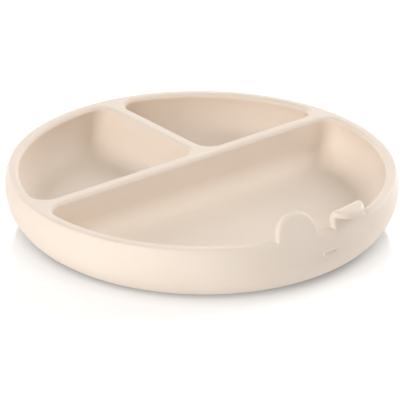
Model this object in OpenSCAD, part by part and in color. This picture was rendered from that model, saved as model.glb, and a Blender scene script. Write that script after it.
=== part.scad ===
// Divided suction plate for a baby, moulded in one piece of silicone.
// The origin is the middle of the underside, the face with the ears looks along -Y.

/* [Plate] */
// Width across the bulging wall
plate_d = 190; // [175:1:205]
// Height from the table to the top of the rim and of the dividers
plate_h = 30.5; // [29:0.5:36]
// Radius of the bulging outer wall, from the table up
bulge_r = 22.5; // [19:0.5:26]
// Rounding of the rim's outer edge
rim_edge_r = 1.5; // [0.8:0.1:2.5]

/* [Compartments] */
// Width of the rim's top, from the outer edge to the compartments
rim_w = 3.2; // [2.5:0.1:6]
// Depth of the compartments below the rim
pocket_depth = 22; // [17:0.5:23]
// Lean of the dividers' walls, in degrees
draft = 6; // [2:1:10]
// Rounding where the dividers' walls meet the floor
floor_fillet_r = 11; // [4:0.5:12]
// Rounding where the rim's wall meets the floor
rim_fillet_r = 12; // [6:0.5:13]
// Rounding of the compartments' top edges
edge_r = 1.9; // [1:0.1:3]
// Radius of the compartments' corners, seen from above
corner_r = 10; // [7:0.5:14]
// Least radius of those corners, at the floor
foot_corner_r = 7; // [2:0.5:8]
// Flat width on top of a divider
divider_flat = 3; // [2:0.5:6]
// Place of the long divider, behind the middle
long_divider_y = 11.4; // [0:0.2:25]
// Place of the short divider, to the right of the middle
short_divider_x = 11.8; // [-20:0.2:20]

/* [Ears] */
// Width of an ear
ear_w = 21.7; // [16:0.1:26]
// Length of an ear above the rim, laid flat
ear_h = 12.5; // [11.5:0.1:18]
// Length of an ear's straight sides above the rim
ear_straight = 0.9; // [0.5:0.1:4]
// How square an ear's outline is, where 2 is a plain oval
ear_squareness = 2.2; // [2:0.1:3]
// Thickness of an ear
ear_t = 4; // [3:0.1:4.4]
// Distance between the ears' middles, along the rim
ear_spacing = 31; // [28:0.1:50]
// Turn of the two ears from the plate's front, in degrees
face_turn = -1.4; // [-10:0.1:10]
// How far an ear's front stands out past the rim's outer edge
ear_proud = 0.2; // [0.2:0.1:1.4]
// Lean of an ear over the compartment, in degrees
ear_lean = 17; // [0:0.5:22]
// Height above the rim at which the right ear starts to fold
fold_rise = 3.5; // [3:0.1:6]
// Radius of the fold, on its hollow side
fold_inside_r = 0.1; // [0.1:0.1:2]
// How far the right ear folds outwards, in degrees
fold_angle = 117; // [60:1:150]

/* [Nose] */
// Width of the nose
nose_w = 9; // [6:0.5:12]
// Height of the nose
nose_h = 5; // [4:0.5:8]
// Width of its raised line
nose_line = 0.9; // [0.6:0.1:1.2]
// How far the line stands out of the wall
nose_proud = 0.5; // [0.3:0.1:1]
// Height of the nose's middle above the table
nose_z = 19.7; // [12:0.1:23]
// Turn of the nose from the plate's front, in degrees
nose_turn = -0.6; // [-10:0.1:10]

/* [Underside] */
// Thickness of the compartments' floor
floor_t = 3; // [2:0.1:4]
// Width of the flat ring that the plate rests on
foot_w = 10; // [6:0.5:14]
// Number of suction cups
cup_count = 4; // [3:1:4]
// Width of a suction cup
cup_d = 38; // [30:1:40]
// Width of a cup's neck
neck_d = 15; // [10:1:20]
// Gap between a cup and the side of the hollow
cup_gap = 4; // [2:0.5:6]
// Thickness of a cup's lip
cup_lip_t = 1.2; // [0.8:0.1:1.8]

/* [Hidden] */
silicone = [0.90, 0.84, 0.77];
$fn = 160;
arc_steps = 7;
clear = 1;

// Outer wall: one arc from the table to the rim
bulge_x = plate_d / 2 - bulge_r;
bulge_z = bulge_r;
rim_edge_x = bulge_x + sqrt(pow(bulge_r - rim_edge_r, 2) - pow(plate_h - rim_edge_r - bulge_z, 2));
rim_out_r = bulge_x + sqrt(pow(bulge_r, 2) - pow(plate_h - bulge_z, 2));
pocket_edge_r = rim_out_r - rim_w;

// Compartment walls, from the rim down to the floor
floor_z = plate_h - pocket_depth;
wall_top_z = plate_h - edge_r * (1 - sin(draft));
wall_foot_z = floor_z + floor_fillet_r * (1 - sin(draft));
wall_top_inset = edge_r * cos(draft);
wall_foot_inset = wall_top_inset + (wall_top_z - wall_foot_z) * tan(draft);
floor_inset = wall_foot_inset + floor_fillet_r * cos(draft);

// The wall under the rim: an arc about the outer wall's centre, then the rounding at the floor
inner_r = norm([pocket_edge_r - bulge_x, plate_h - edge_r - bulge_z]) - edge_r;
inner_top = atan2(plate_h - edge_r - bulge_z, pocket_edge_r - bulge_x);
edge_foot_z = plate_h - edge_r * (1 + sin(inner_top));
rim_fillet_z = floor_z + rim_fillet_r;
rim_fillet_x = bulge_x + sqrt(max(0, pow(inner_r - rim_fillet_r, 2) - pow(rim_fillet_z - bulge_z, 2)));
inner_foot_z = bulge_z + inner_r * sin(atan2(rim_fillet_z - bulge_z, rim_fillet_x - bulge_x));

// Ears
ear_root = 3;
ear_mid_r = rim_out_r + ear_proud - ear_t / 2;
fold_r = fold_inside_r + ear_t / 2;
ear_turn = ear_spacing / 2 / ear_mid_r * 180 / PI;

// Underside
recess_z = floor_z - floor_t;
recess_r = bulge_x - foot_w;
cup_ring_r = recess_r - cup_gap - cup_d / 2;

function arc(c, r, from, to, n = arc_steps) =
    [for (i = [0:n]) c + r * [cos(from + (to - from) * i / n), sin(from + (to - from) * i / n)]];

function lifted(points, z) = [for (p = points) [p[0], p[1], z]];

// How far a divider's wall lies inside its edge at height z
function divider_inset(z) =
    z > wall_top_z ? sqrt(max(0, pow(edge_r, 2) - pow(z - plate_h + edge_r, 2))) :
    z > wall_foot_z ? wall_top_inset + (wall_top_z - z) * tan(draft) :
    floor_inset - sqrt(max(0, pow(floor_fillet_r, 2) - pow(z - floor_z - floor_fillet_r, 2)));

// How far the wall under the rim lies inside its edge at height z
function rim_inset(z) =
    z > edge_foot_z ? sqrt(max(0, pow(edge_r, 2) - pow(z - plate_h + edge_r, 2))) :
    z > inner_foot_z ? pocket_edge_r - bulge_x - sqrt(max(0, pow(inner_r, 2) - pow(z - bulge_z, 2))) :
    pocket_edge_r - rim_fillet_x - sqrt(max(0, pow(rim_fillet_r, 2) - pow(z - rim_fillet_z, 2)));

// The heights at which a compartment's outline is drawn, from the top down
levels = concat(
    [for (i = [0:4]) plate_h - edge_r * (1 - cos((90 + inner_top) * i / 4))],
    [for (i = [1:9]) edge_foot_z + (floor_z - edge_foot_z) * sin(10 * i)]
);

function rounding(inset) = max(corner_r - inset, foot_corner_r);

// Outline of the front compartment, moved in by inset at the divider and by under at the rim
function front_outline(inset, under) =
    let(r = rounding(inset), rim = pocket_edge_r - under)
    let(y = long_divider_y - divider_flat / 2 - inset - r)
    let(x = sqrt(pow(rim - r, 2) - y * y), a = atan2(y, x))
    concat(
        arc([x, y], r, a, 90),
        arc([-x, y], r, 90, 180 - a),
        [for (i = [1:47]) let(t = 180 - a + (180 + 2 * a) * i / 48) rim * [cos(t), sin(t)]]
    );

// Outline of a back compartment to the right of x = side, moved in by inset and by under at the rim
function back_outline(side, inset, under) =
    let(r = rounding(inset), rim = pocket_edge_r - under)
    let(x = side + inset + r, y = long_divider_y + divider_flat / 2 + inset + r)
    let(x_rim = sqrt(pow(rim - r, 2) - y * y), y_rim = sqrt(pow(rim - r, 2) - x * x))
    let(low = atan2(y, x_rim), high = atan2(y_rim, x))
    concat(
        arc([x, y], r, 180, 270),
        arc([x_rim, y], r, -90, low),
        [for (i = [1:19]) let(t = low + (high - low) * i / 20) rim * [cos(t), sin(t)]],
        arc([x, y_rim], r, high, 180)
    );

// A solid through outlines of the same number of points, from the top one down
module loft(rings) {
    n = len(rings[0]);
    last = len(rings) - 1;
    sides = [for (k = [0:last - 1], i = [0:n - 1]) let(j = (i + 1) % n)
        each [[k * n + i, k * n + j, (k + 1) * n + j], [k * n + i, (k + 1) * n + j, (k + 1) * n + i]]];
    polyhedron(
        points = [for (ring = rings) each ring],
        faces = concat([[for (i = [n - 1:-1:0]) i]], sides, [[for (i = [0:n - 1]) last * n + i]])
    );
}

module front_pocket() {
    loft(concat(
        [lifted(front_outline(0, 0), plate_h + clear)],
        [for (z = levels) lifted(front_outline(divider_inset(z), rim_inset(z)), z)]
    ));
}

module back_pocket(side) {
    loft(concat(
        [lifted(back_outline(side, 0, 0), plate_h + clear)],
        [for (z = levels) lifted(back_outline(side, divider_inset(z), rim_inset(z)), z)]
    ));
}

module pockets() {
    front_pocket();
    back_pocket(short_divider_x + divider_flat / 2);
    mirror([1, 0, 0]) back_pocket(divider_flat / 2 - short_divider_x);
}

// Half section of the plate without its compartments, grown outwards by grow
module body_section(grow = 0) {
    tangent = atan2(plate_h - rim_edge_r - bulge_z, rim_edge_x - bulge_x);
    polygon(concat(
        [[0, 0]],
        arc([bulge_x, bulge_z], bulge_r + grow, -90, 0, 18),
        arc([bulge_x, bulge_z], bulge_r + grow, tangent / 4, tangent, 3),
        arc([rim_edge_x, plate_h - rim_edge_r], rim_edge_r + grow, tangent, 90, 4),
        [[0, plate_h]]
    ));
}

// Half section of the hollow under the floor
module recess_section() {
    polygon([[0, -clear], [recess_r + 1, -clear], [recess_r + 1, 0], [recess_r, 1],
        [recess_r - 2, recess_z], [0, recess_z]]);
}

// A suction cup with a thin flared lip, on a short neck
module cup() {
    r = cup_d / 2;
    rotate_extrude($fn = 96)
        polygon([[0, recess_z + 0.5], [neck_d / 2, recess_z + 0.5], [neck_d / 2, recess_z * 0.72],
            [r * 0.7, recess_z * 0.45], [r, cup_lip_t * 0.4], [r, 0], [r - 0.8, 0],
            [r * 0.6, recess_z * 0.2], [r * 0.3, recess_z * 0.34], [0, recess_z * 0.38]]);
}

// How far along its rounded end a point s above the rim lies, from 0 to 1 at the tip
function ear_over(s) = max(0, s - ear_straight) / (ear_h - ear_straight);

// Half the ear's width at a distance s above the rim
function ear_half(s) =
    ear_w / 2 * pow(max(0, 1 - pow(ear_over(s), ear_squareness)), 1 / ear_squareness);

// How far a point of the ear lies inside its outline
function ear_inside(u, s) =
    let(across = pow(abs(u) * 2 / ear_w, ear_squareness), along = pow(ear_over(s), ear_squareness))
    ear_w / 2 * (1 - pow(across + along, 1 / ear_squareness));

// Half the ear's thickness there, rounded off along the outline
function ear_thick(u, s) =
    let(t = ear_t / 2, d = min(t, max(0, ear_inside(u, s))))
    sqrt(max(0, t * t - pow(t - d, 2)));

// Middle of the ear's section and the direction of its front face, after folding by bend degrees.
// It is upright inside the rim and leans inwards above it.
function ear_path(s, bend) =
    s <= 0 ? [ear_mid_r, plate_h + s, 1, 0] :
    let(up = bend == 0 ? s : min(s, fold_rise), turned = (s - up) / fold_r * 180 / PI)
    let(b = min(turned, bend), past = (turned - b) / 180 * PI * fold_r, a = b - ear_lean)
    [ear_mid_r - up * sin(ear_lean) + fold_r * (cos(ear_lean) - cos(a)) + past * sin(a),
        plate_h + up * cos(ear_lean) + fold_r * (sin(a) + sin(ear_lean)) + past * cos(a), cos(a), -sin(a)];

// A point of the ear: u across it, s above the rim along it, v out of its middle
function ear_point(u, s, v, bend) =
    let(p = ear_path(s, bend), r = p[0] + v * p[2], t = u / ear_mid_r * 180 / PI - 90)
    [r * cos(t), r * sin(t), p[1] + v * p[3]];

// An ear that stands on the rim, closed at its root and tip by strips
module ear(bend) {
    across = 14;
    tip = [for (i = [1:16]) ear_straight + (ear_h - ear_straight) * sin(i * 5.2)];
    stem = [for (i = [0:4]) (ear_root + ear_straight) * i / 4 - ear_root];
    stations = concat(stem, tip);
    n = 2 * across;
    rings = [for (s = stations) let(w = ear_half(s)) concat(
        [for (i = [0:across]) let(u = -w * cos(180 * i / across)) ear_point(u, s, ear_thick(u, s), bend)],
        [for (i = [across - 1:-1:1]) let(u = -w * cos(180 * i / across)) ear_point(u, s, -ear_thick(u, s), bend)]
    )];
    last = len(rings) - 1;
    sides = [for (k = [0:last - 1], i = [0:n - 1]) let(j = (i + 1) % n)
        each [[k * n + i, (k + 1) * n + j, k * n + j], [k * n + i, (k + 1) * n + i, (k + 1) * n + j]]];
    function strip(k, turn) = [for (i = [0:across - 1])
        let(a = k * n + i, b = k * n + i + 1, c = k * n + (n - i - 1) % n, d = k * n + (n - i) % n)
        each [if (i < across - 1) turn ? [a, c, b] : [a, b, c], if (i > 0) turn ? [a, d, c] : [a, c, d]]];
    polyhedron(
        points = [for (ring = rings) each ring],
        faces = concat(strip(0, false), sides, strip(last, true))
    );
}

module ears() {
    rotate(face_turn - ear_turn) ear(0);
    rotate(face_turn + ear_turn) ear(fold_angle);
}

// Triangle with rounded corners and its wide side up, moved in by inset
module nose_outline(inset) {
    r = nose_h * 0.3;
    x = nose_w / 2 - r;
    y = nose_h / 2 - r;
    polygon(concat(
        arc([x, y], r - inset, -30, 90, 5),
        arc([-x, y], r - inset, 90, 210, 5),
        arc([0, -y], r - inset, 210, 330, 5)
    ));
}

// The nose's raised line, which follows the outer wall
module nose() {
    intersection() {
        rotate_extrude() body_section(nose_proud);
        rotate(nose_turn)
            translate([0, -plate_d / 2 + 6, nose_z])
                rotate([90, 0, 0])
                    linear_extrude(12) difference() {
                        nose_outline(0);
                        nose_outline(nose_line);
                    }
    }
}

module plate() {
    color(silicone) {
        difference() {
            rotate_extrude() body_section();
            pockets();
            rotate_extrude() recess_section();
        }
        for (i = [0:cup_count - 1])
            rotate(45 + 360 * i / cup_count)
                translate([cup_ring_r, 0, 0])
                    cup();
        ears();
        nose();
    }
}

plate();
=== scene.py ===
"""Baby suction plate of beige silicone on a white table.

The plate's sizes are in millimetres and become metres when a surface is written into its mesh.
Those of the silicone's patterns, the table, the camera and the light are in metres.
The origin is the middle of the underside, and the side with the ears looks along -Y.
"""
import math

import bpy
import numpy as np
from mathutils import Matrix, Vector
from mathutils.geometry import tessellate_polygon


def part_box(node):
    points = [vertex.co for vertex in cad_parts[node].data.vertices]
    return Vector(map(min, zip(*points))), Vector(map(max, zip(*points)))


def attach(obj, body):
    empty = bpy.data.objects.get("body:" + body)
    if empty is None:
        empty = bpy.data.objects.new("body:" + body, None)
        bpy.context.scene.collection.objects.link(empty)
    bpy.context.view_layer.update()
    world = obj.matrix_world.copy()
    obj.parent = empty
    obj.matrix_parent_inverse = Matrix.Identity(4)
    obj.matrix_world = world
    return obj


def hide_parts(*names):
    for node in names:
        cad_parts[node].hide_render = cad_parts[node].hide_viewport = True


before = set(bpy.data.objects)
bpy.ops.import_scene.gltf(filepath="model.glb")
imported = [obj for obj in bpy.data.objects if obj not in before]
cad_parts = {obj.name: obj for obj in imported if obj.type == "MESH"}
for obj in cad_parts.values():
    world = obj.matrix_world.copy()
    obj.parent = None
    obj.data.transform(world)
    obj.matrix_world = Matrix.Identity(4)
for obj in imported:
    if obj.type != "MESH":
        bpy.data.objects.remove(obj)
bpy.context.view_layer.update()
node_low, node_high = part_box("plate")

# Plate: its width is the CAD node's, rounded to half a millimetre because the node has facets
plate_d = round((node_high[0] - node_low[0]) * 2000) / 2
plate_h = 30.5
bulge_r = 22.5
rim_edge_r = 1.5

# Compartments
rim_w = 3.2
pocket_depth = 22
draft = math.radians(6)
floor_fillet_r = 11
rim_fillet_r = 12
edge_r = 1.9
corner_r = 10
foot_corner_r = 7
divider_flat = 3
long_divider_y = 11.4
short_divider_x = 11.8

# Ears
ear_w = 21.7
ear_h = 12.5
ear_straight = 0.9
ear_squareness = 2.2
ear_t = 4
ear_spacing = 31
face_turn = math.radians(-1.4)
ear_proud = 0.2
ear_lean = math.radians(17)
fold_rise = 3.5
fold_inside_r = 0.1
fold_angle = math.radians(117)
ear_root = 3

# How an ear meets the rim: the fillets at its feet, how far its front stands proud of the wall and then dips
# into it below the rim, and the height over which its lean eases from the wall's to ear_lean
ear_foot_left = 0.4
ear_foot_right = 1.6
ear_flush = 0.02
ear_sink = 0.4
ease_length = 1.5

# Nose: a line nose_crest proud, nose_foot wide to each side at the wall and nose_root deep inside it
nose_w = 9
nose_h = 5
nose_corner_r = 0.3 * nose_h
nose_line = 0.9
nose_crest = 0.5
nose_foot = 0.5
nose_root = 0.4
nose_z = 19.7
nose_turn = math.radians(-0.6)

# Underside
floor_t = 3
foot_w = 10
cup_count = 4
cup_d = 38
neck_d = 15
cup_gap = 4
cup_lip_t = 1.2

# Hollow around the cups: its edge, how far its side leans in, a point on that side and the round at its top
foot_edge_r = 1
hollow_lean = 1.6
hollow_side_in = 0.9
hollow_side_z = 2.2
hollow_round_r = 2

# Worked out from those
bulge_x = plate_d / 2 - bulge_r
rim_edge_x = bulge_x + math.sqrt((bulge_r - rim_edge_r) ** 2 - (plate_h - rim_edge_r - bulge_r) ** 2)
rim_out_r = bulge_x + math.sqrt(bulge_r**2 - (plate_h - bulge_r) ** 2)
pocket_edge_r = rim_out_r - rim_w
floor_z = plate_h - pocket_depth
wall_top_z = plate_h - edge_r * (1 - math.sin(draft))
wall_foot_z = floor_z + floor_fillet_r * (1 - math.sin(draft))
wall_foot_inset = edge_r * math.cos(draft) + (wall_top_z - wall_foot_z) * math.tan(draft)
floor_inset = wall_foot_inset + floor_fillet_r * math.cos(draft)
inner_r = math.hypot(pocket_edge_r - bulge_x, plate_h - edge_r - bulge_r) - edge_r
inner_top = math.atan2(plate_h - edge_r - bulge_r, pocket_edge_r - bulge_x)
rim_fillet_z = floor_z + rim_fillet_r
rim_fillet_x = bulge_x + math.sqrt((inner_r - rim_fillet_r) ** 2 - (rim_fillet_z - bulge_r) ** 2)
inner_foot = math.atan2(rim_fillet_z - bulge_r, rim_fillet_x - bulge_x)
ear_mid_r = rim_out_r + ear_proud - ear_t / 2
fold_r = fold_inside_r + ear_t / 2
ear_turn = ear_spacing / 2 / ear_mid_r
recess_z = floor_z - floor_t
recess_r = bulge_x - foot_w
cup_ring_r = recess_r - cup_gap - cup_d / 2

# Mesh: a narrow band beside each edge keeps the shading of flat parts flat
flat_margin = 0.15
round_steps = 360
ceiling_rings = (cup_ring_r + 12, cup_ring_r, cup_ring_r / 2, 2)

# Silicone: its two beiges, how matte it is and the sizes in metres of its clouding, sheen, grain and waves
pale_beige = (0.774, 0.664, 0.563)
light_beige = (0.799, 0.692, 0.591)
least_matte = 0.5
most_matte = 0.6
cloud_size = 0.045
sheen_size = 0.012
grain_size = 0.0006
grain_depth = 0.00005
wave_size = 0.018
wave_depth = 0.0004

# Table in metres: its painted glow passes through pairs of distance from glow_middle and brightness, and near
# none under the plate's overhang it paints the contact shadow
table_side = 8
table_grey = 0.45
table_roughness = 0.1
table_ior = 1.8
glow_middle = (0.0083, 0.0094, 0)
glow_reach = 0.25
painted_glow_and_shadow = (
    (0.0838, 0),
    (0.0898, 0.2),
    (0.096, 0.42),
    (0.105, 0.54),
    (0.115, 0.58),
    (0.14, 0.56),
    (0.2, 0.52),
)

# Camera: angles in degrees, metres from the plate, focal length in pixels and the origin's place in the photo
camera_azimuth = -39.607
camera_elevation = 25.298
camera_roll = 0.533
camera_distance = 1.52
photo_pixels = 400
focal_pixels = 3127.4
origin_at = (201.562, 222.811)
sensor_width = 36

# Light: the surroundings' brightness by height, then name, elevation, azimuth from the camera and watts
room_glow = ((0.2, 0), (0.45, 0.45), (0.7, 0), (1, 0.24))
box_distance = 2
box_size = 0.9
soft_boxes = (
    ("low_left", 12, -35, 14),
    ("high_left", 40, -35, 15.8),
    ("far_left", 40, -70, 4.8),
    ("back_left", 12, -150, 15.2),
    ("back_panel", 25, 180, 6.3),
    ("back_right", 12, 150, 10.8),
    ("low_right", 12, 125, 9.7),
    ("side_right", 12, 100, 5.5),
    ("high_right", 40, 110, 16.8),
)


def arc(centre, radius, start, end, count):
    """Points on a circle: centre + radius * (cos a, sin a), a going evenly from start to end."""
    a = np.linspace(start, end, count)
    return np.stack([centre[0] + radius * np.cos(a), centre[1] + radius * np.sin(a)], -1)


class Shell:
    """Collects grids and flats of one object, as vertices in millimetres and polygons."""

    def __init__(self):
        self.points = []
        self.quads = []
        self.triangles = []
        self.count = 0

    def add(self, points):
        """Adds points, which may be a grid, and returns their numbers in the same shape."""
        numbers = np.arange(self.count, self.count + points[..., 0].size).reshape(points.shape[:-1])
        self.points.append(points.reshape(-1, 3))
        self.count += numbers.size
        return numbers

    def skin(self, numbers, closed=True, flip=False):
        """Joins a grid's rows by quads: row k to row k + 1, column i to column i + 1."""
        a = numbers if not closed else np.concatenate([numbers, numbers[:, :1]], 1)
        quads = np.stack([a[:-1, :-1], a[:-1, 1:], a[1:, 1:], a[1:, :-1]], -1).reshape(-1, 4)
        self.quads.append(quads[:, ::-1] if flip else quads)

    def cap(self, ring, centre, flip=False):
        """Closes a ring of numbers by triangles to one centre number."""
        fan = np.stack([ring, np.roll(ring, -1), np.full(len(ring), centre)], -1)
        self.triangles.append(fan[:, ::-1] if flip else fan)

    def piece(self, name):
        """Writes everything into a mesh in metres, smooth all over, and returns its object."""
        points = np.concatenate(self.points) / 1000
        faces = np.concatenate(self.quads).tolist() + np.concatenate(self.triangles).tolist()
        mesh = bpy.data.meshes.new(name)
        mesh.from_pydata(points.tolist(), [], faces)
        mesh.polygons.foreach_set("use_smooth", np.ones(len(mesh.polygons), bool))
        mesh.update()
        mesh.validate()
        piece = bpy.data.objects.new(name, mesh)
        bpy.context.scene.collection.objects.link(piece)
        return piece


def outer_profile():
    """Half section from the rim's flat top round the bulging wall, the foot and the hollow to its middle.

    Arcs that touch without a corner: the rim's edge, the wall, the flat foot, a small foot edge and the
    hollow's side.
    """
    tangent = math.atan2(plate_h - rim_edge_r - bulge_r, rim_edge_x - bulge_x)
    foot_in = recess_r + foot_edge_r
    side_x = recess_r - hollow_lean
    side_z = recess_z - hollow_round_r
    margin = 2 * flat_margin
    return np.concatenate([
        arc([rim_edge_x, plate_h - rim_edge_r], rim_edge_r, math.pi / 2, tangent, 12),
        arc([bulge_x, bulge_r], bulge_r, tangent, -math.pi / 2, 60)[1:],
        [[bulge_x - margin, 0], [foot_in + margin, 0]],
        arc([foot_in, foot_edge_r], foot_edge_r, -math.pi / 2, -math.pi, 8),
        [[recess_r - hollow_side_in, hollow_side_z], [side_x, side_z]],
        arc([side_x - hollow_round_r, side_z], hollow_round_r, 0, math.pi / 2, 10)[1:],
        [[r, recess_z] for r in ceiling_rings],
    ])


def spun(profile, count=round_steps):
    """A profile (r, z) turned about the Z axis: (r cos t, r sin t, z)."""
    t = np.linspace(0, 2 * np.pi, count, endpoint=False)
    r, z = profile[:, :1], profile[:, 1:]
    return np.stack([r * np.cos(t), r * np.sin(t), z + 0 * t], -1)


def corner_round(inset):
    """Radius of a compartment's corner when its outline has moved in by inset."""
    return max(corner_r - inset, foot_corner_r)


def front_outline(inset, under):
    """Outline of the front compartment, moved in by inset at the divider and by under at the rim.

    Two corner arcs, the divider's line and the rim's arc.
    """
    r = corner_round(inset)
    rim = pocket_edge_r - under
    y = long_divider_y - divider_flat / 2 - inset - r
    x = math.sqrt((rim - r) ** 2 - y * y)
    a = math.atan2(y, x)
    line = np.linspace(1, 0, 25)[1:-1, None] * [2 * x, 0] + [-x, y + r]
    return np.concatenate([
        arc([x, y], r, a, math.pi / 2, 20),
        line,
        arc([-x, y], r, math.pi / 2, math.pi - a, 20),
        arc([0, 0], rim, math.pi - a, 2 * math.pi + a, 130)[1:-1],
    ])


def back_outline(side, inset, under):
    """Outline of a back compartment to the right of x = side, moved in by inset and by under at the rim."""
    r = corner_round(inset)
    rim = pocket_edge_r - under
    x = side + inset + r
    y = long_divider_y + divider_flat / 2 + inset + r
    x_rim = math.sqrt((rim - r) ** 2 - y * y)
    y_rim = math.sqrt((rim - r) ** 2 - x * x)
    low, high = math.atan2(y, x_rim), math.atan2(y_rim, x)
    steps = np.linspace(0, 1, 15)[1:-1, None]
    return np.concatenate([
        arc([x, y], r, math.pi, 1.5 * math.pi, 18),
        steps * [x_rim - x, 0] + [x, y - r],
        arc([x_rim, y], r, -math.pi / 2, low, 18),
        arc([0, 0], rim, low, high, 60)[1:-1],
        arc([x, y_rim], r, high, math.pi, 18),
        steps * [0, y - y_rim] + [x - r, y_rim],
    ])


def divider_inset(z):
    """How far a divider's wall lies inside its edge at height z.

    From the top down: the rounded edge, the leaning wall and the rounding at the floor.
    """
    edge = np.sqrt(np.maximum(0, edge_r**2 - (z - plate_h + edge_r) ** 2))
    wall = edge_r * math.cos(draft) + (wall_top_z - z) * math.tan(draft)
    foot = floor_inset - np.sqrt(np.maximum(0, floor_fillet_r**2 - (floor_z + floor_fillet_r - z) ** 2))
    return np.where(z > wall_top_z, edge, np.where(z > wall_foot_z, wall, foot))


def rim_inset(z):
    """How far the wall under the rim lies inside its edge at height z.

    From the top down: the rounded edge, an arc about the outer wall's centre and the rounding at the floor.
    """
    edge_low = plate_h - edge_r * (1 + math.sin(inner_top))
    foot_high = bulge_r + inner_r * math.sin(inner_foot)
    edge = np.sqrt(np.maximum(0, edge_r**2 - (z - plate_h + edge_r) ** 2))
    wall = bulge_x + np.sqrt(np.maximum(0, inner_r**2 - (z - bulge_r) ** 2))
    foot = rim_fillet_x + np.sqrt(np.maximum(0, rim_fillet_r**2 - (z - rim_fillet_z) ** 2))
    return np.where(z > edge_low, edge, pocket_edge_r - np.where(z > foot_high, wall, foot))


def pocket_levels():
    """How far the outline has moved in at a divider and at the rim, and at what height, from the top down."""
    edge = plate_h - edge_r + edge_r * np.cos(np.linspace(0, math.pi / 2 + inner_top, 14))
    low = np.sin(np.linspace(0, math.pi / 2, 30)[1:])
    z = np.concatenate([edge, edge[-1] + (floor_z - edge[-1]) * low])
    return np.stack([divider_inset(z), rim_inset(z), z], -1)


def pocket(shell, outline):
    """One compartment: its outline at every level, then the flat floor.

    The top ring lies flat_margin outside the edge. Returns the numbers of that ring.
    """
    levels = pocket_levels()
    flat = np.stack([outline(inset, under) for inset, under, _ in levels])
    heights = np.broadcast_to(levels[:, 2:, None], (*flat.shape[:2], 1))
    rings = np.concatenate([flat, heights], -1)
    step = rings[1, :, :2] - rings[0, :, :2]
    step /= np.linalg.norm(step, axis=1)[:, None]
    top = rings[:1].copy()
    top[0, :, :2] -= flat_margin * step
    foot = rings[-1]
    middle = foot.mean(0)
    floor = np.stack([middle + (foot - middle) * k for k in (0.98, 0.9, 0.65, 0.35, 0.1)])
    numbers = shell.add(np.concatenate([top, rings, floor]))
    shell.skin(numbers)
    shell.cap(numbers[-1], shell.add(middle[None])[0])
    return numbers[0]


def mirrored(outline):
    """The same outline with x turned over, in the same sense of rotation."""
    return outline[::-1] * [-1, 1]


def ear_over(s):
    """How far along its rounded end a point s above the rim lies, from 0 to 1 at the tip."""
    return np.clip((s - ear_straight) / (ear_h - ear_straight), 0, 1)


def ear_path(s, bend):
    """Middle of the ear's section and the direction of its front face, s above the rim.

    Below the rim the front follows the wall's arc. Above it the lean eases from the arc's to ear_lean,
    lean = ear_lean + ease * exp(-f / ease_length), and from fold_rise on the ear turns outwards on a
    circle of fold_r by up to bend.
    """
    up = s if bend == 0 else np.minimum(s, fold_rise)
    f = up + ear_t / 2 * math.sin(ear_lean)
    above = np.maximum(f, 0)
    faded = np.exp(-above / ease_length)
    rim_lean = math.asin((plate_h - bulge_r) / bulge_r)
    ease = rim_lean - ear_lean
    below = np.minimum(f, 0) / bulge_r
    lean = np.where(f > 0, ear_lean + ease * faded, rim_lean + below)
    sunk = ear_flush - np.clip(-f - 1, 0, 1) * ear_sink
    bow = ease * ease_length * (1 - faded)
    r = bulge_x + bulge_r * np.cos(rim_lean + below) + (sunk - ear_t / 2) * np.cos(lean)
    z = bulge_r + bulge_r * np.sin(rim_lean + below) + (sunk - ear_t / 2) * np.sin(lean)
    r = r - above * math.sin(ear_lean) - bow * math.cos(ear_lean)
    z = z + above * math.cos(ear_lean) - bow * math.sin(ear_lean)
    turned = (s - up) / fold_r
    b = np.minimum(turned, bend)
    past = (turned - b) * fold_r
    a = b - lean
    r = r + fold_r * (np.cos(lean) - np.cos(a)) + past * np.sin(a)
    z = z + fold_r * (np.sin(a) + np.sin(lean)) + past * np.cos(a)
    return r, z, np.cos(a), -np.sin(a)


def ear(shell, at, bend):
    """An ear: (u, v) runs round its section and s along it, wrapped on the circle of the rim and folded.

    The outline is half a superellipse on short straight sides. The thickness follows a half circle along the
    outline. A small fillet spreads its sides and its back where it stands on the rim.
    """
    k = np.sin(np.linspace(0, 1, 56)[1:-1] * np.pi / 2)
    s = np.concatenate([
        [-ear_root, -2, -1],
        np.linspace(-0.2, ear_straight, 12),
        ear_straight + (ear_h - ear_straight) * k,
    ])[:, None]
    over = ear_over(s)
    q = np.linspace(0, 2 * np.pi, 96, endpoint=False)[None]
    half = ear_w / 2 * (1 - over**ear_squareness) ** (1 / ear_squareness)
    u = -half * np.cos(q)
    rho = (np.abs(u * 2 / ear_w) ** ear_squareness + over**ear_squareness) ** (1 / ear_squareness)
    t = ear_t / 2
    d = np.clip((1 - rho) * ear_w / 2, 0, t)
    v = np.sqrt(np.maximum(0, t * t - (t - d) ** 2)) * np.where(np.sin(q) >= 0, 1, -1)
    foot = np.where(u > 0, ear_foot_right, ear_foot_left)
    near = np.clip((foot - s) / foot, 0, 1)
    spread = foot * (1 - np.sqrt(1 - near**2))
    u = u * (1 + spread * 2 / ear_w)
    v = np.where(v < 0, v - ear_foot_left / foot * spread * np.abs(v) / t, v)
    r, z, out, rise = ear_path(s + 0 * u, bend)
    radius = r + v * out
    angle = u / ear_mid_r + at - np.pi / 2
    grid = np.stack([radius * np.cos(angle), radius * np.sin(angle), z + v * rise], -1)
    numbers = shell.add(grid)
    shell.skin(numbers)
    tip_r, tip_z, _, _ = ear_path(np.array(float(ear_h)), bend)
    a = at - np.pi / 2
    tip = np.array([[tip_r * math.cos(a), tip_r * math.sin(a), tip_z]])
    shell.cap(numbers[-1], shell.add(tip)[0])
    root = grid[0].mean(0)
    shell.cap(numbers[0], shell.add(root[None])[0], flip=True)


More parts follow.
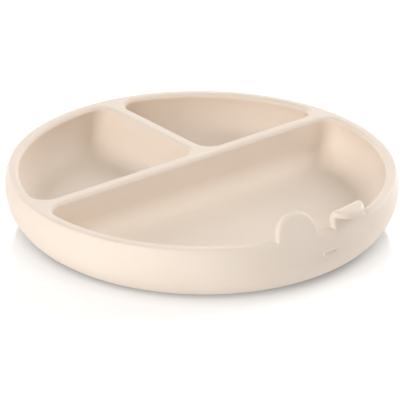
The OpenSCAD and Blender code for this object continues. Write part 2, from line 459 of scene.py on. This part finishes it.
def wall_point(u, z, out, at):
    """A point on the bulging wall, u along the rim, at height z, out of the wall along its normal."""
    tilt = np.arcsin(np.clip((z - bulge_r) / bulge_r, -1, 1))
    r = bulge_x + (bulge_r + out) * np.cos(tilt)
    a = u / (plate_d / 2) + at - np.pi / 2
    return np.stack([r * np.cos(a), r * np.sin(a), bulge_r + (bulge_r + out) * np.sin(tilt)], -1)


def nose(shell):
    """The nose's raised line: a low soft bead carried along a triangle with rounded corners, on the wall.

    Across the bead its height is half a cosine wave, so that it runs out flat into the wall on both sides.
    """
    x, y = nose_w / 2 - nose_corner_r, nose_h / 2 - nose_corner_r
    mid = nose_corner_r - nose_line / 2
    lap = np.concatenate([
        arc([x, y], mid, -math.pi / 6, math.pi / 2, 20),
        np.linspace(x, -x, 14)[1:-1, None] * [1, 0] + [0, y + mid],
        arc([-x, y], mid, math.pi / 2, math.pi * 7 / 6, 20),
        arc([0, -y], mid, math.pi * 7 / 6, math.pi * 11 / 6, 20),
    ])
    ahead = np.roll(lap, -1, 0) - np.roll(lap, 1, 0)
    ahead /= np.linalg.norm(ahead, axis=1)[:, None]
    side = np.stack([ahead[:, 1], -ahead[:, 0]], -1)
    q = np.linspace(0, 2 * np.pi, 20, endpoint=False)[:, None]
    across = nose_foot * np.cos(q)
    swell = nose_crest * (0.5 + 0.5 * np.cos(np.pi * np.cos(q)))
    out = np.where(np.sin(q) > 0, swell, nose_root * np.sin(q))
    u = lap[:, 0] + across * side[:, 0]
    z = nose_z + lap[:, 1] + across * side[:, 1]
    numbers = shell.add(wall_point(u, z, out + 0 * u, nose_turn))
    numbers = np.concatenate([numbers, numbers[:1]])
    shell.skin(numbers)


def cup_profile():
    """Half section of a suction cup: neck, flared back, thin rounded lip and the hollow face.

    The back and the face are given as shares of the cup's radius and of the hollow's height.
    """
    r = cup_d / 2
    neck = neck_d / 2
    middle = 0.01
    back = np.array([(0.5, 0.64), (0.6, 0.545), (0.7, 0.45), (0.8, 0.34), (0.9, 0.22)])
    face = np.array([(0.86, 0.07), (0.74, 0.14), (0.6, 0.2), (0.45, 0.27), (0.3, 0.335), (0.15, 0.37)])
    return np.concatenate([
        [[middle, recess_z + 0.4], [neck + 0.6, recess_z + 0.4], [neck + 0.25, recess_z - 0.15]],
        [[neck, recess_z * 0.84], [neck + 0.2, recess_z * 0.74]],
        back * [r, recess_z],
        [[r - 0.25, cup_lip_t * 0.5], [r, cup_lip_t * 0.3], [r, 0.12], [r - 0.15, 0], [r - 0.8, 0.02]],
        face * [r, recess_z],
        [[middle, recess_z * 0.38]],
    ])


def cups(shell):
    """The suction cups, spun about their own axes and set on a ring under the floor."""
    grid = spun(cup_profile(), 96)
    for i in range(cup_count):
        a = math.pi / 4 + 2 * math.pi * i / cup_count
        numbers = shell.add(grid + [cup_ring_r * math.cos(a), cup_ring_r * math.sin(a), 0])
        shell.skin(numbers, flip=True)
        shell.cap(numbers[0], numbers[0, 0])
        shell.cap(numbers[-1], numbers[-1, 0], flip=True)


def rim_and_dividers(shell, outer, holes):
    """The flat top between the outer ring and the compartments' rings, in triangles between their points."""
    points = np.concatenate(shell.points)
    loops = [outer] + holes
    order = np.concatenate(loops)
    faces = tessellate_polygon([[Vector(points[i]) for i in loop] for loop in loops])
    triangles = order[np.array(faces)]
    a, b, c = (points[triangles[:, k]] for k in range(3))
    down = np.cross(b - a, c - a)[:, 2] < 0
    triangles[down] = triangles[down][:, ::-1]
    shell.triangles.append(triangles)


def plate_body():
    """The whole moulding as one piece: wall and foot, compartments, rim, ears, nose and suction cups."""
    shell = Shell()
    profile = outer_profile()
    profile = np.concatenate([[[profile[0, 0] - flat_margin, plate_h]], profile])
    wall = shell.add(spun(profile))
    shell.skin(wall, flip=True)
    shell.cap(wall[-1], shell.add(np.array([[0, 0, recess_z]]))[0], flip=True)
    right, left = short_divider_x + divider_flat / 2, divider_flat / 2 - short_divider_x
    holes = [
        pocket(shell, front_outline),
        pocket(shell, lambda inset, under: back_outline(right, inset, under)),
        pocket(shell, lambda inset, under: mirrored(back_outline(left, inset, under))),
    ]
    rim_and_dividers(shell, wall[0], holes)
    ear(shell, face_turn - ear_turn, 0)
    ear(shell, face_turn + ear_turn, fold_angle)
    nose(shell)
    cups(shell)
    return shell.piece("moulded_plate")


def nodes_of(name):
    """A new material with nodes, its tree's nodes, links and surface shader."""
    material = bpy.data.materials.new(name)
    material.use_nodes = True
    tree = material.node_tree
    return material, tree.nodes, tree.links, tree.nodes["Principled BSDF"]


def silicone():
    """Matte beige silicone: faint clouding of its colour, a fine moulded grain and soft light inside it."""
    material, nodes, links, skin = nodes_of("matte_silicone")
    place = nodes.new("ShaderNodeTexCoord")

    def noise(size, detail):
        """A noise on the object's own coordinates, with spots of about size metres."""
        spots = nodes.new("ShaderNodeTexNoise")
        spots.inputs["Scale"].default_value = 1 / size
        spots.inputs["Detail"].default_value = detail
        links.new(place.outputs["Object"], spots.inputs["Vector"])
        return spots.outputs["Fac"]

    def bump(height, strength, depth):
        """A bump of that height input, strength and depth in metres."""
        relief = nodes.new("ShaderNodeBump")
        relief.inputs["Strength"].default_value = strength
        relief.inputs["Distance"].default_value = depth
        links.new(height, relief.inputs["Height"])
        return relief

    tint = nodes.new("ShaderNodeValToRGB")
    tint.color_ramp.elements[0].position = 0.3
    tint.color_ramp.elements[0].color = (*pale_beige, 1)
    tint.color_ramp.elements[1].position = 0.7
    tint.color_ramp.elements[1].color = (*light_beige, 1)
    links.new(noise(cloud_size, 3), tint.inputs["Fac"])
    links.new(tint.outputs["Color"], skin.inputs["Base Color"])
    matte = nodes.new("ShaderNodeMapRange")
    matte.inputs["To Min"].default_value = least_matte
    matte.inputs["To Max"].default_value = most_matte
    links.new(noise(sheen_size, 2), matte.inputs["Value"])
    links.new(matte.outputs["Result"], skin.inputs["Roughness"])
    grain = bump(noise(grain_size, 2), 0.1, grain_depth)
    waves = bump(noise(wave_size, 1), 0.15, wave_depth)
    links.new(grain.outputs["Normal"], waves.inputs["Normal"])
    links.new(waves.outputs["Normal"], skin.inputs["Normal"])
    skin.inputs["IOR"].default_value = 1.41
    skin.inputs["Specular IOR Level"].default_value = 0.4
    skin.inputs["Subsurface Weight"].default_value = 0.03
    skin.inputs["Subsurface Radius"].default_value = (1.0, 0.6, 0.35)
    skin.inputs["Subsurface Scale"].default_value = 0.003
    skin.inputs["Sheen Weight"].default_value = 0.05
    skin.inputs["Sheen Roughness"].default_value = 0.5
    return material


def grey_steps(nodes, links, value, steps):
    """A grey that passes through steps, pairs of a value from 0 to 1 and a brightness, as value grows."""
    ramp = nodes.new("ShaderNodeValToRGB")
    elements = ramp.color_ramp.elements
    elements[0].position = steps[0][0]
    elements[1].position = steps[-1][0]
    for place, _ in steps[1:-1]:
        elements.new(place)
    for element, (_, grey) in zip(elements, steps):
        element.color = (grey, grey, grey, 1)
    links.new(value, ramp.inputs["Fac"])
    return ramp.outputs["Color"]


def table_top():
    """A glossy white table with a painted glow, though it is no lamp, which drops where the plate's wall
    hangs over it into a painted contact shadow.
    """
    material, nodes, links, skin = nodes_of("white_table_painted_glow")
    skin.inputs["Base Color"].default_value = (table_grey, table_grey, table_grey, 1)
    skin.inputs["Roughness"].default_value = table_roughness
    skin.inputs["IOR"].default_value = table_ior
    place = nodes.new("ShaderNodeTexCoord")
    distance = nodes.new("ShaderNodeVectorMath")
    distance.operation = "DISTANCE"
    distance.inputs[1].default_value = glow_middle
    links.new(place.outputs["Object"], distance.inputs[0])
    share = nodes.new("ShaderNodeMath")
    share.operation = "DIVIDE"
    share.use_clamp = True
    share.inputs[1].default_value = glow_reach
    links.new(distance.outputs["Value"], share.inputs[0])
    # Painted glow and painted contact shadow: the emission grows from none under the plate's overhang to a
    # glow beyond it
    steps = [(r / glow_reach, glow) for r, glow in painted_glow_and_shadow]
    links.new(grey_steps(nodes, links, share.outputs["Value"], steps), skin.inputs["Emission Color"])
    skin.inputs["Emission Strength"].default_value = 1
    mesh = bpy.data.meshes.new("table_top")
    half = table_side / 2
    corners = [(-half, -half, 0), (half, -half, 0), (half, half, 0), (-half, half, 0)]
    mesh.from_pydata(corners, [], [(0, 1, 2, 3)])
    table = bpy.data.objects.new("table_top", mesh)
    bpy.context.scene.collection.objects.link(table)
    table.data.materials.append(material)


def way_to(elevation, azimuth):
    """The direction at these degrees above the table and round from -Y towards +X, from the origin."""
    e, a = math.radians(elevation), math.radians(azimuth)
    return Vector((math.sin(a) * math.cos(e), -math.cos(a) * math.cos(e), math.sin(e)))


def photo_camera():
    """The camera of the photo: far away with a long lens, to the left of the ears and above the table.

    It looks at the origin and then turns a little, so that the origin comes to its place in the photo.
    """
    back = way_to(camera_elevation, camera_azimuth)
    right = way_to(0, camera_azimuth + 90)
    up = back.cross(right)
    across = math.atan((origin_at[0] - photo_pixels / 2) / focal_pixels)
    down = math.atan((origin_at[1] - photo_pixels / 2) / focal_pixels)
    turn = Matrix((right, up, back)).transposed() @ Matrix.Rotation(math.radians(camera_roll), 3, "Z")
    turn = turn @ Matrix.Rotation(across, 3, "Y") @ Matrix.Rotation(down, 3, "X")
    data = bpy.data.cameras.new("camera")
    data.sensor_fit = "HORIZONTAL"
    data.sensor_width = sensor_width
    data.lens = sensor_width * focal_pixels / photo_pixels
    data.clip_start = 0.05
    data.clip_end = 20
    camera = bpy.data.objects.new("camera", data)
    camera.matrix_world = Matrix.Translation(back * camera_distance) @ turn.to_4x4()
    bpy.context.scene.collection.objects.link(camera)
    bpy.context.scene.camera = camera


def soft_box(name, elevation, azimuth, power):
    """A square area light that shines at the plate; azimuth is 0 behind the camera and grows to its right."""
    way = way_to(elevation, azimuth + camera_azimuth)
    data = bpy.data.lights.new(name, "AREA")
    data.shape = "SQUARE"
    data.size = box_size
    data.energy = power
    light = bpy.data.objects.new(name, data)
    light.location = way * box_distance
    light.rotation_euler = (-way).to_track_quat("-Z", "Y").to_euler()
    bpy.context.scene.collection.objects.link(light)


def studio():
    """Pale surroundings that change with height, soft boxes around the plate and the plain view transform."""
    world = bpy.data.worlds.new("white_room")
    bpy.context.scene.world = world
    world.use_nodes = True
    nodes, links = world.node_tree.nodes, world.node_tree.links
    sky = nodes["Background"]
    way = nodes.new("ShaderNodeTexCoord")
    parts = nodes.new("ShaderNodeSeparateXYZ")
    links.new(way.outputs["Generated"], parts.inputs["Vector"])
    links.new(grey_steps(nodes, links, parts.outputs["Z"], room_glow), sky.inputs["Color"])
    sky.inputs["Strength"].default_value = 1
    for name, elevation, azimuth, power in soft_boxes:
        soft_box(name, elevation, azimuth, power)
    view = bpy.context.scene.view_settings
    view.view_transform = "Standard"
    view.look = "None"
    view.exposure = 0
    view.gamma = 1


photo_camera()
studio()
table_top()

plate = plate_body()
plate.data.materials.append(silicone())
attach(plate, "root")
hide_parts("plate")
